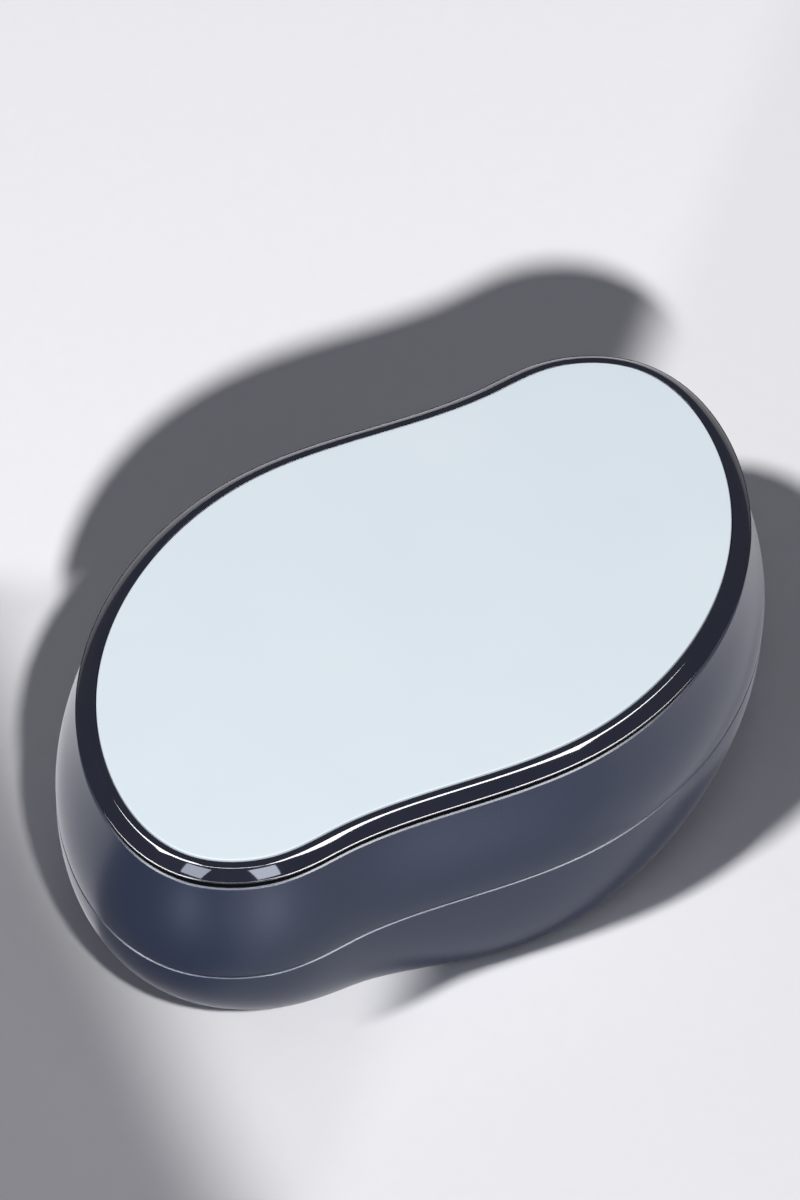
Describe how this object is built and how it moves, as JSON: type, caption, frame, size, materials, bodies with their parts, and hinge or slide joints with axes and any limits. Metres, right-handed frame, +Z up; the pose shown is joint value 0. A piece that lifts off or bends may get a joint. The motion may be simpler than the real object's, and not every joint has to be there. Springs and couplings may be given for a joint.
{
  "type": "skin scrubber",
  "caption": "Palm-held S-shaped skin scrubber: an etched glass face in a gloss bezel above a shadow gap, on a rounded split shell.",
  "frame": {"origin": "on the plane of the four resting feet, at the middle of the body's footprint", "axes": "+Z up out of the glass face, +X along the body's long side, +Y completes the frame"},
  "size_m": [0.0892, 0.0572, 0.0275],
  "materials": {
    "etched_glass": "opaque pale ice blue glass, finely etched satin face",
    "bond_film": "white acrylic bonding film",
    "bezel_gloss": "mirror-gloss dark navy",
    "carrier_plastic": "moulded matte black",
    "seal_rubber": "soft black silicone rubber",
    "shell_plastic": "satin smoky blue-grey with a clear topcoat",
    "screw_steel": "zinc-plated steel"
  },
  "bodies": {
    "root": {"glass_plate": "etched_glass", "plate_adhesive": "bond_film", "bezel_ring": "bezel_gloss", "plate_carrier": "carrier_plastic", "carrier_gasket": "seal_rubber", "upper_shell": "shell_plastic", "carrier_screws": "screw_steel", "seam_seal": "seal_rubber", "lower_shell": "shell_plastic"}
  },
  "joints": []
}
